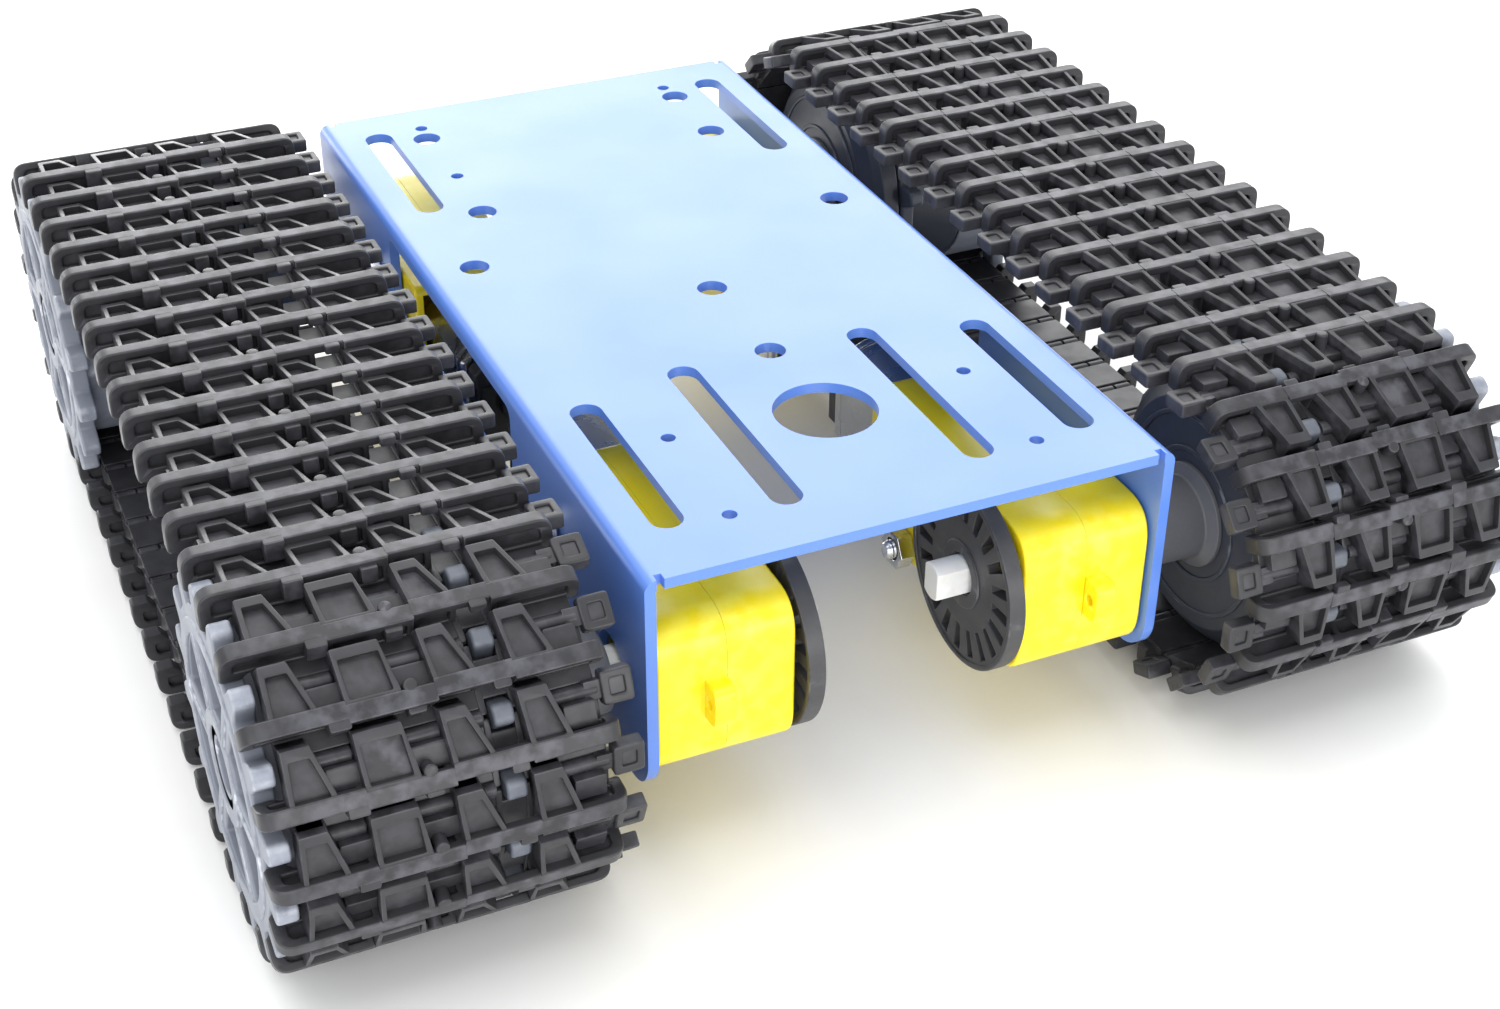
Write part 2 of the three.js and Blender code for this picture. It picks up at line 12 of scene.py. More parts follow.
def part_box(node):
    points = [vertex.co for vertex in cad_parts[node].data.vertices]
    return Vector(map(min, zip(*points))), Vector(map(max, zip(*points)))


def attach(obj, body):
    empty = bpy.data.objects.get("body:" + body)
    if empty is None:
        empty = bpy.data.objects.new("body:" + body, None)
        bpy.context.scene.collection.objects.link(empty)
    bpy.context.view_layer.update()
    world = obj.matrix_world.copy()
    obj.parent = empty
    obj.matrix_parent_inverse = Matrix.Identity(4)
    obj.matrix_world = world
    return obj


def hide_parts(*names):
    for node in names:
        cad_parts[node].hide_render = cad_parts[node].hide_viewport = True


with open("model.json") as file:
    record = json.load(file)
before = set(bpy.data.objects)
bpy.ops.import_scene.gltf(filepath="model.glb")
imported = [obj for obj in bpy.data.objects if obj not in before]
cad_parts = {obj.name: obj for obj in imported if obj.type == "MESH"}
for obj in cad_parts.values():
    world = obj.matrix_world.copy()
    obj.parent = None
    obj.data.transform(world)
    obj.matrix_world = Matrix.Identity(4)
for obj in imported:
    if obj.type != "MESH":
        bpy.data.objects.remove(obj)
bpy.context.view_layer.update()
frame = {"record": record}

MM = 0.001

# Places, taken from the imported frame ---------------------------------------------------

JOINTS = {joint["name"]: joint for joint in frame["record"]["behaviour"]["joints"]}
AXLE = [value / MM for value in JOINTS["rear_right_wheel_spin"]["pos_m"]]
AXLE_Y = AXLE[1]
AXLE_Z = AXLE[2]
DECK_LOW, DECK_HIGH = [[value / MM for value in corner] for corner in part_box("chassis_frame")]
DECK_TOP = DECK_HIGH[2]
HALF_W = DECK_HIGH[0]
HALF_L = DECK_HIGH[1]

# Sizes in millimetres ------------------------------------------------------------------

OVER = 1  # how far a cutting shape runs past the face it cuts

TEETH = 16
RUN_LINKS = 14
PITCH = 2 * AXLE_Y / RUN_LINKS
TOOTH_STEP = 2 * math.pi / TEETH
PIN_R = PITCH / 2 / math.sin(TOOTH_STEP / 2)
BELT_R = PIN_R * math.cos(TOOTH_STEP / 2)
RIM_R = BELT_R - 1.3

SHEET = 1.5
BEND_R = 1.65
FLANGE_CORNER_R = 5.5
RELIEF = {"wide": 2.6, "narrow": 1.6, "long": 1.2, "below": 2, "above": 1.5}
FLANGE_BORE_R = 4.7
FLANGE_SCREW_R = 1.7
SLOT_R = 2.2
SLOTS = [  # X on the right, mirrored on the left, then Y from and to
    (29.3, -62.4, -30.4), (13.6, -63.5, -26.2), (29.4, 33.2, 65),
]
HOLES = [
    (0, -27.1), (0, -6.9), (29.5, 13.1), (-29.5, 13.1), (-22.5, 30.3),
    (22.1, 60), (-22.1, 60), (22, 44.3),
]
HOLE_R = 2.2
PILOTS = [
    (21.8, -42.8), (-21.8, -42.8), (21.8, -62.5), (-21.8, -62.5),
    (-22, 44.3), (21.7, 64.3), (-21.7, 64.3),
]
PILOT_R = 1.0
CENTRE_HOLE = (0, -44.6, 7.1)  # X, Y, radius
WINDOW = (-23.5, 32.8, DECK_TOP - 16.2, DECK_TOP - 2.7)  # Y, Y, Z, Z through each flange
WINDOW_CORNER_R = 2

# Gear motor: Y and Z are measured from its output shaft, X from the middle of the car
BOX_Y0 = -11.1
BOX_Y1 = 33
BOX_HALF = 11.25
BOX_X0 = 16.4
BOX_X1 = 35.2
BOX_MID = 25.8
BOX_CORNERS = [5.5, 1.4, 1.4, 5.5]
HOLLOW_CORNERS = [4.2, 0.2, 0.2, 4.2]
WALL = 1.3
NOSE_WALL = 1.5
SEAM_HALF = 0.03
SEAM_PAST = 3
BOSS_Y = 20.3
BOSS_Z = 8.75
BOSS_R = 2.5
SCREW_BORE_R = 1.8
SHAFT_BORE_R = 3.0
NOSE_TAB = {"out": 3.2, "into": 0.8, "half": 3, "thick": 3, "round": 1.8, "hole": 0.8}
CAN = {"y0": 24, "y1": 49, "r": 9.6, "flat": 7.5}
CAN_BAND = {"y0": 46.4, "y1": 47, "r": 9.75, "flat": 7.62}
CAP = {"y0": 49.25, "y1": 52.6, "r": 8.6, "flat": 6.6}
SPIGOT = {"y0": 52.2, "y1": 53.75, "r": 3}
CAP_RIB = {"x": 4.6, "half": 1.1, "high": 3.4, "y0": 52.3, "y1": 53}
SHAFT = {"x0": 8.8, "x1": 45, "r": 2.7, "flat": 1.85}
GEAR = {"x0": 20.5, "x1": 25.5, "teeth": 14, "root": 8.0, "tip": 9.1}
MOTOR_SCREW = {"tip": 12.6, "root": 37.6, "seat": 37.3, "top": 39.1, "head": 2.75, "r": 1.45}
MOTOR_SOCKET = {"r": 1.16, "floor": 38.1, "past": 40}
NUT = {"x0": 13.7, "x1": 16.1, "r": 3.1, "bore": 1.7}

DISC_X0 = 13.2
DISC_THICK = 2.4
DISC_R = 13.5
DISC_SLOTS = 20
DISC_SLOT = [(8.2, -0.55), (12.1, -0.82), (12.1, 0.82), (8.2, 0.55)]  # along and across a radius

# Wheel: X is measured from the middle of the car, and a profile holds pairs of X and radius
KNOB = [  # along its own radius, aside from it, and how round the corner is
    (RIM_R, -1.9, 0.7), (23.9, -1.25, 1.1), (23.9, 1.25, 1.1), (RIM_R, 1.9, 0.7),
]
SPOKES = 6
WINDOW_RIM_R = 16.4
WINDOW_HUB_R = 7.6
OUTER_X0 = 70.1  # the inner half ends 0.3 before it
OUTER_FACE = (83.8, 86.5)
OUTER_PROUD = 86.75  # top of the lip, the hub ring and the ribs
DRUM_RADII = (16.2, 18)
LIP_RADII = (16.5, 18.6)
HUB_RING_RADII = (5.2, 7.4)
RIB = {"x0": 84.4, "r0": 6.8, "r1": 17, "half": 0.6}
INNER_RING = (56.1, 58.7)
DISH_PROFILE = [
    (45.6, 0), (45.6, 3.0), (38.6, 3.0), (38.6, 5.6), (49.2, 5.9), (50, 7.4), (50, 16.9),
    (51.6, 19.0), (52.9, RIM_R), (55.75, RIM_R), (55.75, 17.2), (57, 18), (69.8, 18), (69.8, 16.2),
    (58, 16.2), (52, 15), (52, 5.6), (69.8, 5.6), (69.8, 1.8), (60, 1.8), (60, 0),
]
DISH_RADII = [
    0, 0.2, 0.3, 0.5, 0.8, 0.8, 0.6, 0.9, 0.5, 0.4, 0.2,
    0.3, 0.4, 0.3, 0.4, 0.4, 0.4, 0.3, 0.2, 0, 0,
]
DISH_RINGS = (9.6, 14.8)
SLEEVE_PROFILE = [(38.6, 3.4), (38.6, 5.62), (48.4, 5.95), (49.4, 7.6), (49.9, 7.6), (49.9, 3.4)]
WHEEL_SCREW = {"tip": 60, "root": 83.3, "seat": 83, "top": 84.8, "head": 3, "r": 1.5}
CROSS = {"long": 2.1, "half": 0.42, "floor": 83.9, "past": 86}

# Track link: u is a share of the track's width from its outer edge, s runs against the travel and
# n outward from the pins
TRACK_X1 = 86.8
TRACK_W = 41.7
BAR_TOP = 4.0
FINGERS = [  # u at the root, then at the tip
    (0.085, 0.22, 0.09, 0.17),
    (0.29, 0.445, 0.285, 0.42),
    (0.535, 0.66, 0.525, 0.60),
    (0.755, 0.88, 0.745, 0.83),
]
FINGER_ROOT = 0.5
FINGER_REACH = 7.15
FINGER_SLOPE = 0.155
POCKET_END = 5.75
RIM = {"base1": 0.0208, "base0": 0.016, "tip0": 0.016, "tip1": 0.0064}  # shares of the width
BLOCKS = [  # u0, u1, s0, s1, n0, n1
    (0.232, 0.292, -2.15, -0.6, 1.3, 3.97),
    (0.69, 0.74, -2.0, -0.6, 2.75, 3.97),
    (0.45, 0.5, -2.3, -0.6, 1.3, 3.4),
    (0.09, 0.655, -3.3, 3.4, -0.95, 0.35),
    (0.76, 0.985, -3.3, 3.4, -0.95, 0.35),
    (0.65, 0.765, -2.3, 2.3, -0.95, 0.35),
    (0.65, 0.67, -4.1, 4.1, -0.95, 0.5),
    (0.738, 0.765, -4.1, 4.1, -0.95, 0.5),
    (0.2, 0.295, 0.6, 3.6, 0.1, 1.9),
    (0.43, 0.54, 0.6, 3.6, 0.1, 1.9),
    (0.87, 0.965, 0.6, 3.6, 0.1, 2.0),
]
BOSS = {"u": 0.47, "s": 0.95, "n0": 0.5, "n1": 3.97, "r": 0.85}
BACK_KNUCKLES = [(0.095, 0.165), (0.29, 0.42), (0.535, 0.6), (0.765, 0.825)]
FRONT_KNUCKLES = [(0.172, 0.284), (0.426, 0.529), (0.606, 0.652), (0.832, 0.985)]
KNUCKLE_R = 1.0
LINK_PINS = [(0.09, 0.655), (0.76, 0.99)]
LINK_PIN_R = 0.5
LUG = {"x0": 41.5, "x1": 45.4, "half": 2.1, "wall": 1.1}

# Studio: name, place, target, width and height in metres, watts
LIGHTS = [
    ("top_softbox", (-0.1, 0.0, 0.9), (0, 0, 0), (0.9, 0.9), 4.5),
    ("back_softbox", (0.45, 1.05, 0.75), (0, 0, 0.03), (1.3, 0.9), 11),
    ("front_fill", (-0.6, -0.9, 0.5), (0, 0, 0.03), (0.9, 0.7), 3.8),
    ("low_front", (0.12, -0.9, 0.16), (0, 0, 0.02), (0.8, 0.26), 2.6),
    ("low_back", (-0.1, 0.95, 0.14), (0, 0, 0.02), (0.8, 0.22), 3.0),
]

# Camera fitted to the photograph: focal length in mm, place in metres, and its three directions
LENS = 54.034
SENSOR_WIDTH = 36
CAMERA_PLACE = (-0.11550, -0.27389, 0.19883)
CAMERA_RIGHT = (0.91154, -0.41115, 0.00660)
CAMERA_DOWN = (-0.22017, -0.50154, -0.83665)
CAMERA_FORWARD = (0.34730, 0.76119, -0.54770)


# Mesh tools ----------------------------------------------------------------------------

def fillet(points, radius, steps=4):
    """A closed outline with its corners rounded. radius is one number or one for each corner."""
    count = len(points)
    radii = radius if isinstance(radius, (list, tuple)) else [radius] * count
    result = []
    for i, here in enumerate(points):
        p = Vector(here)
        a = Vector(points[i - 1]) - p
        b = Vector(points[(i + 1) % count]) - p
        r = radii[i]
        angle = a.angle(b, math.pi)
        if r <= 0 or min(a.length, b.length) < 1e-6 or angle > math.pi - 0.05:
            result.append(tuple(p))
            continue
        back = min(r / math.tan(angle / 2), a.length * 0.49, b.length * 0.49)
        start = p + a.normalized() * back
        end = p + b.normalized() * back
        for k in range(steps + 1):
            t = k / steps
            result.append(tuple(start * (1 - t) ** 2 + p * 2 * t * (1 - t) + end * t * t))
    return result


def arc(cx, cy, radius, angles):
    return [(cx + radius * math.cos(a), cy + radius * math.sin(a)) for a in angles]


def circle(cx, cy, radius, sides):
    return arc(cx, cy, radius, [2 * math.pi * i / sides for i in range(sides)])


def turned(along, aside, angle):
    """A point given along and aside from a direction, turned to that direction."""
    return (
        along * math.cos(angle) - aside * math.sin(angle),
        along * math.sin(angle) + aside * math.cos(angle),
    )


def rect(a0, a1, b0, b1):
    return [(a0, b0), (a1, b0), (a1, b1), (a0, b1)]


def slot_outline(x, y0, y1, radius):
    low = arc(x, y0 + radius, radius, np.linspace(math.pi, 2 * math.pi, 12))
    high = arc(x, y1 - radius, radius, np.linspace(0, math.pi, 12))
    return low + high


# From an outline drawn in (Y, Z), (X, Z) or (X, Y), with its extrusion third, to the frame. The
# extrusion runs towards +X, -Y or +Z, so both kinds of prism turn its sign round for y.
AXES = {
    "x": Matrix(((0, 0, 1, 0), (1, 0, 0, 0), (0, 1, 0, 0), (0, 0, 0, 1))),
    "y": Matrix(((1, 0, 0, 0), (0, 0, -1, 0), (0, 1, 0, 0), (0, 0, 0, 1))),
    "z": Matrix.Identity(4),
}


def prism(outlines, axis, lo, hi, bevel, segments):
    """Outlines (the outside, then holes) extruded along an axis, every edge rounded by bevel.

    They are drawn in (Y, Z) for x, (X, Z) for y and (X, Y) for z.
    """
    data = bpy.data.curves.new("outline", "CURVE")
    data.dimensions = "2D"
    data.fill_mode = "BOTH"
    data.extrude = (hi - lo) / 2 - bevel
    data.bevel_depth = bevel
    data.bevel_resolution = segments
    data.offset = -bevel
    for points in outlines:
        spline = data.splines.new("POLY")
        spline.points.add(len(points) - 1)
        spline.points.foreach_set("co", [c for u, v in points for c in (u, v, 0, 1)])
        spline.use_cyclic_u = True
    holder = bpy.data.objects.new("outline", data)
    bpy.context.scene.collection.objects.link(holder)
    mesh = baked(holder)
    bpy.data.objects.remove(holder)
    bpy.data.curves.remove(data)
    middle = (lo + hi) / 2
    if axis == "y":
        middle = -middle
    mesh.transform(AXES[axis] @ Matrix.Translation((0, 0, middle)))
    weld(mesh)
    return mesh


def plain_prism(outline, axis, lo, hi):
    """A straight extrusion with sharp edges, for cutting and for shapes that are bevelled later."""
    work = bmesh.new()
    ends = []
    for w in (lo, hi):
        row = []
        for u, v in outline:
            place = AXES[axis] @ Vector((u, v, -w if axis == "y" else w))
            row.append(work.verts.new(place))
        ends.append(row)
    work.faces.new(ends[0])
    work.faces.new(list(reversed(ends[1])))
    count = len(outline)
    for i in range(count):
        j = (i + 1) % count
        work.faces.new((ends[0][i], ends[1][i], ends[1][j], ends[0][j]))
    bmesh.ops.recalc_face_normals(work, faces=work.faces)
    mesh = bpy.data.meshes.new("straight")
    work.to_mesh(mesh)
    work.free()
    return mesh


def weld(mesh):
    work = bmesh.new()
    work.from_mesh(mesh)
    bmesh.ops.remove_doubles(work, verts=work.verts, dist=1e-4)
    bmesh.ops.recalc_face_normals(work, faces=work.faces)
    work.to_mesh(mesh)
    work.free()


def baked(holder):
    """A new mesh of an object as its modifiers leave it."""
    graph = bpy.context.evaluated_depsgraph_get()
    graph.update()
    return bpy.data.meshes.new_from_object(holder.evaluated_get(graph))


def lathe(profile, sides, closed=False):
    """Points (x, radius) turned about the X axis. closed joins the last point to the first."""
    work = bmesh.new()
    rings = []
    for x, r in profile:
        if r < 1e-6:
            rings.append([work.verts.new((x, 0, 0))])
            continue
        ring = []
        for i in range(sides):
            a = 2 * math.pi * i / sides
            ring.append(work.verts.new((x, r * math.cos(a), r * math.sin(a))))
        rings.append(ring)
    following = rings[1:] + rings[:1] if closed else rings[1:]
    for first, second in zip(rings, following):
        for i in range(sides):
            j = (i + 1) % sides
            if len(first) == 1:
                work.faces.new((first[0], second[j], second[i]))
            elif len(second) == 1:
                work.faces.new((first[i], first[j], second[0]))
            else:
                work.faces.new((first[i], first[j], second[j], second[i]))
    bmesh.ops.recalc_face_normals(work, faces=work.faces)
    mesh = bpy.data.meshes.new("turned")
    work.to_mesh(mesh)
    work.free()
    return mesh


def moved(mesh, matrix):
    """A moved copy, still facing outwards when the matrix mirrors."""
    copy = mesh.copy()
    copy.transform(matrix)
    if matrix.determinant() < 0:
        copy.flip_normals()
    return copy


def joined(meshes):
    """Several meshes as one, each keeping its own closed surface."""
    work = bmesh.new()
    for mesh in meshes:
        work.from_mesh(mesh)
    result = bpy.data.meshes.new("joined")
    work.to_mesh(result)
    work.free()
    return result


def boolean(mesh, cutters, operation="DIFFERENCE"):
    target = bpy.data.objects.new("target", mesh)
    bpy.context.scene.collection.objects.link(target)
    holders = []
    for cutter in cutters:
        tool = bpy.data.objects.new("tool", cutter)
        bpy.context.scene.collection.objects.link(tool)
        modifier = target.modifiers.new("cut", "BOOLEAN")
        modifier.solver = "EXACT"
        modifier.operation = operation
        modifier.object = tool
        holders.append(tool)
    result = baked(target)
    for holder in [target, *holders]:
        bpy.data.objects.remove(holder)
    return result


def piece(name, mesh, body, material, nodes=(), bevel=0.0, sharp=35):
    """A finished piece: a mesh in millimetres placed in the frame, on a body, with its material."""
    mesh.transform(Matrix.Scale(MM, 4))
    mesh.name = name
    made = bpy.data.objects.new(name, mesh)
    bpy.context.scene.collection.objects.link(made)
    mesh.materials.clear()
    mesh.materials.append(material)
    mesh.polygons.foreach_set("use_smooth", [True] * len(mesh.polygons))
    mesh.set_sharp_from_angle(angle=math.radians(sharp))
    if bevel:
        rounding = made.modifiers.new("edges", "BEVEL")
        rounding.width = bevel * MM
        rounding.segments = 2
        rounding.limit_method = "ANGLE"
        rounding.angle_limit = math.radians(sharp)
        rounding.harden_normals = True
        rounding.use_clamp_overlap = True
    else:
        shading = made.modifiers.new("normals", "WEIGHTED_NORMAL")
        shading.keep_sharp = True
        shading.weight = 80
    for node in nodes:
        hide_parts(node)
    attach(made, body)
    return made


# Materials -----------------------------------------------------------------------------

def srgb(red, green, blue):
    def linear(value):
        value /= 255
        return value / 12.92 if value <= 0.04045 else ((value + 0.055) / 1.055) ** 2.4
    return (linear(red), linear(green), linear(blue), 1)


def shade(color, factor):
    return tuple(min(1, channel * factor) for channel in color[:3]) + (1,)


class Nodes:
    """Short calls for building one material's node tree."""

    def __init__(self, material):
        material.use_nodes = True
        self.tree = material.node_tree
        self.shader = self.tree.nodes["Principled BSDF"]
        self.coords = self.tree.nodes.new("ShaderNodeTexCoord").outputs["Object"]

    def link(self, source, target):
        self.tree.links.new(source, target)

    def noise(self, scale, detail, stretch=None, distortion=0):
        source = self.coords
        if stretch:
            mapping = self.tree.nodes.new("ShaderNodeMapping")
            mapping.inputs["Scale"].default_value = stretch
            self.link(source, mapping.inputs["Vector"])
            source = mapping.outputs["Vector"]
        node = self.tree.nodes.new("ShaderNodeTexNoise")
        node.inputs["Scale"].default_value = scale
        node.inputs["Detail"].default_value = detail
        node.inputs["Distortion"].default_value = distortion
        self.link(source, node.inputs["Vector"])
        return node.outputs["Fac"]

    def ramp(self, source, low, high, to_low=0.0, to_high=1.0):
        node = self.tree.nodes.new("ShaderNodeMapRange")
        node.inputs["From Min"].default_value = low
        node.inputs["From Max"].default_value = high
        node.inputs["To Min"].default_value = to_low
        node.inputs["To Max"].default_value = to_high
        self.link(source, node.inputs["Value"])
        return node.outputs["Result"]

    def times(self, first, second):
        node = self.tree.nodes.new("ShaderNodeMath")
        node.operation = "MULTIPLY"
        self.link(first, node.inputs[0])
        self.link(second, node.inputs[1])
        return node.outputs[0]

    def blend(self, factor, first, second):
        node = self.tree.nodes.new("ShaderNodeMix")
        node.data_type = "RGBA"
        self.link(factor, node.inputs["Factor"])
        for value, socket in ((first, node.inputs[6]), (second, node.inputs[7])):
            if isinstance(value, tuple):
                socket.default_value = value
            else:
                self.link(value, socket)
        return node.outputs[2]

    def pointiness(self):
        return self.tree.nodes.new("ShaderNodeNewGeometry").outputs["Pointiness"]

    def bump(self, height, strength, distance, below=None):
        node = self.tree.nodes.new("ShaderNodeBump")
        node.inputs["Strength"].default_value = strength
        node.inputs["Distance"].default_value = distance
        self.link(height, node.inputs["Height"])
        if below:
            self.link(below, node.inputs["Normal"])
        return node.outputs["Normal"]


def surface(name, color, rough, spread, grain=(1400, 0.25), broad=70, metallic=0.0, coat=0.0,
            worn=None, hollow_shade=0.0, stretch=None, ior=1.5, subsurface=0.0):
    """A moulded, painted or bare surface: colour drift, fine grain, worn edges, painted shade in
    hollows.

    grain is the scale and the bump strength of the fine grain, broad the scale of the drift.
    """
    material = bpy.data.materials.new(name)
    n = Nodes(material)
    shader = n.shader
    drift = n.ramp(n.noise(broad, 5, None, 0.4), 0.3, 0.7)
    base = n.blend(drift, shade(color, 1 - spread), shade(color, 1 + spread))
    fine = n.noise(grain[0], 3, stretch)
    fleck = n.ramp(fine, 0.35, 0.65)
    base = n.blend(n.ramp(fleck, 0, 1, 0, 0.35), base, shade(color, 1 - spread * 1.6))
    edge = n.pointiness()
    if worn:
        scuff = n.times(n.ramp(edge, 0.52, 0.6), n.ramp(n.noise(420, 6), 0.4, 0.62))
        base = n.blend(scuff, base, worn)
    # painted shade: the hollows, where pointiness is low, are darkened towards 0.35 of the colour
    # under a noise
    if hollow_shade:
        hollow = n.times(n.ramp(edge, 0.49, 0.4), n.ramp(n.noise(300, 4), 0.3, 0.7, 0, hollow_shade))
        base = n.blend(hollow, base, shade(color, 0.35))
    n.link(base, shader.inputs["Base Color"])
    gloss = n.ramp(n.noise(broad * 3, 6), 0.3, 0.7, rough - 0.08, rough + 0.08)
    n.link(gloss, shader.inputs["Roughness"])
    waves = n.bump(n.noise(broad * 2, 2), 0.12, 0.0002)
    n.link(n.bump(fine, grain[1], 0.00004, waves), shader.inputs["Normal"])
    shader.inputs["Metallic"].default_value = metallic
    shader.inputs["IOR"].default_value = ior
    shader.inputs["Coat Weight"].default_value = coat
    shader.inputs["Coat Roughness"].default_value = 0.3
    shader.inputs["Subsurface Weight"].default_value = subsurface
    shader.inputs["Subsurface Scale"].default_value = 0.002
    return material


BLUE_PAINT = surface(
    "painted_sheet", srgb(88, 130, 214), 0.38, spread=0.03, grain=(2600, 0.1), broad=14,
    coat=0.44,
)
YELLOW_PLASTIC = surface(
    "yellow_plastic", srgb(254, 226, 16), 0.36, spread=0.02, grain=(1900, 0.1), broad=50,
    worn=srgb(255, 240, 90), coat=0.1, subsurface=0.12,
)
CAN_STEEL = surface(
    "can_steel", srgb(186, 188, 192), 0.28, spread=0.05, grain=(900, 0.2), metallic=1.0,
    stretch=(1, 0.06, 1), hollow_shade=0.4,
)
CAP_PLASTIC = surface(
    "cap_plastic", srgb(32, 33, 36), 0.5, spread=0.12, worn=srgb(70, 71, 75),
)
WHITE_PLASTIC = surface(
    "white_plastic", srgb(236, 236, 232), 0.38, spread=0.025, worn=srgb(250, 250, 250),
    hollow_shade=0.3, subsurface=0.1,
)
DISC_PLASTIC = surface(
    "disc_plastic", srgb(58, 58, 61), 0.42, spread=0.1, grain=(1700, 0.2),
    worn=srgb(105, 105, 108), hollow_shade=0.2,
)
WHEEL_PLASTIC = surface(
    "wheel_plastic", srgb(126, 131, 143), 0.4, spread=0.06, grain=(1500, 0.2),
    worn=srgb(215, 219, 228), hollow_shade=0.5,
)
# painted shade: the wheel's blue-grey plastic, darkened to about half for the inner half that sits
# in shade
DISH_PLASTIC_PAINTED_SHADE = surface(
    "wheel_plastic_painted_shade", srgb(62, 66, 76), 0.38, spread=0.1, grain=(1500, 0.2),
    worn=srgb(120, 124, 134), hollow_shade=0.4,
)
TRACK_PLASTIC = surface(
    "track_plastic", srgb(49, 49, 52), 0.37, spread=0.1, grain=(1300, 0.3), broad=110,
    worn=srgb(80, 80, 86), hollow_shade=0.8, ior=1.42,
)
# painted shade: the wheel's blue-grey plastic, darkened for the inner ring of knobs that sits in
# shade
KNOB_PLASTIC_PAINTED_SHADE = surface(
    "wheel_knob_plastic_painted_shade", srgb(84, 89, 99), 0.42, spread=0.08, grain=(1500, 0.2),
    worn=srgb(135, 140, 150), hollow_shade=0.5,
)
HUB_PLASTIC = surface(
    "hub_plastic", srgb(104, 105, 110), 0.4, spread=0.08, grain=(1500, 0.2), hollow_shade=0.4,
)
ZINC_STEEL = surface(
    "zinc_steel", srgb(196, 198, 202), 0.27, spread=0.06, grain=(1800, 0.15), metallic=1.0,
    worn=srgb(235, 236, 240), hollow_shade=0.4,
)


# Folded frame --------------------------------------------------------------------------

def mirrored(points):
    return [(-x, z) for x, z in reversed(points)]


def channel():
    """Outline in (X, Z) of the folded sheet."""
    low = DECK_LOW[2]
    x = HALF_W - BEND_R
    z = DECK_TOP - BEND_R
    quarter = np.linspace(0, math.pi / 2, 9)
    side = [(HALF_W, low), *arc(x, z, BEND_R, quarter)]
    back = [*reversed(arc(x, z, BEND_R - SHEET, quarter)), (HALF_W - SHEET, low)]
    return [*side, *mirrored(side), *mirrored(back), *back]


def deck_cutters():
    z0 = DECK_TOP - SHEET - OVER
    z1 = DECK_TOP + OVER
    tools = []
    for x, y0, y1 in SLOTS:
        for side in (1, -1):
            tools.append(plain_prism(slot_outline(side * x, y0, y1, SLOT_R), "z", z0, z1))
    tools.append(plain_prism(circle(*CENTRE_HOLE, 56), "z", z0, z1))
    tools += [plain_prism(circle(x, y, HOLE_R, 28), "z", z0, z1) for x, y in HOLES]
    tools += [plain_prism(circle(x, y, PILOT_R, 20), "z", z0, z1) for x, y in PILOTS]
    return tools


def flange_cutters(side):
    xs = sorted((side * (HALF_W - SHEET - OVER), side * (HALF_W + OVER)))
    tools = [plain_prism(fillet(rect(*WINDOW), WINDOW_CORNER_R, 5), "x", *xs)]
    for end in (1, -1):
        tools.append(plain_prism(circle(end * AXLE_Y, AXLE_Z, FLANGE_BORE_R, 40), "x", *xs))
        for up in (1, -1):
            hole = circle(end * (AXLE_Y - BOSS_Y), AXLE_Z + up * BOSS_Z, FLANGE_SCREW_R, 20)
            tools.append(plain_prism(hole, "x", *xs))
        tools.append(plain_prism(flange_corner(end), "x", *xs))
        tools.append(relief(side, end))
    return tools


def make_chassis():
    blank = plain_prism(channel(), "y", -HALF_L, HALF_L)
    tools = [*deck_cutters(), *flange_cutters(1), *flange_cutters(-1)]
    mesh = boolean(blank, [joined(tools)])
    nodes = ["chassis_frame"]
    piece("chassis_frame_look", mesh, "frame", BLUE_PAINT, nodes, bevel=0.22, sharp=28)


def flange_corner(end):
    """What rounding off one lower corner of a flange takes away, in (Y, Z)."""
    r = FLANGE_CORNER_R
    low = DECK_LOW[2]
    yc = end * (HALF_L - r)
    curve = [
        (yc + end * r * math.cos(a), low + r - r * math.sin(a))
        for a in np.linspace(0, math.pi / 2, 9)
    ]
    edge = end * (HALF_L + OVER)
    return [*curve, (yc, low - OVER), (edge, low - OVER), (edge, low + r)]


def relief(side, end):
    """The small notch where a bend ends."""
    xs = sorted((side * (HALF_W - RELIEF["wide"]), side * (HALF_W - RELIEF["narrow"])))
    ys = sorted((end * (HALF_L - RELIEF["long"]), end * (HALF_L + OVER)))
    z0 = DECK_TOP - SHEET - RELIEF["below"]
    return plain_prism(rect(*xs, *ys), "z", z0, DECK_TOP + RELIEF["above"])


# Gear motors ---------------------------------------------------------------------------

# For each corner: the end of the car, the half turn from the right front one, and 1 or -1 for the
# side of it that then points up
CORNERS = {
    "front_right": (-1, Matrix.Identity(4), 1),
    "rear_right": (1, Matrix.Rotation(math.pi, 4, "X"), -1),
    "front_left": (-1, Matrix.Rotation(math.pi, 4, "Y"), -1),
    "rear_left": (1, Matrix.Rotation(math.pi, 4, "Z"), 1),
}


def corner_matrix(tag):
    end, turn, _ = CORNERS[tag]
    return Matrix.Translation((0, end * AXLE_Y, AXLE_Z)) @ turn


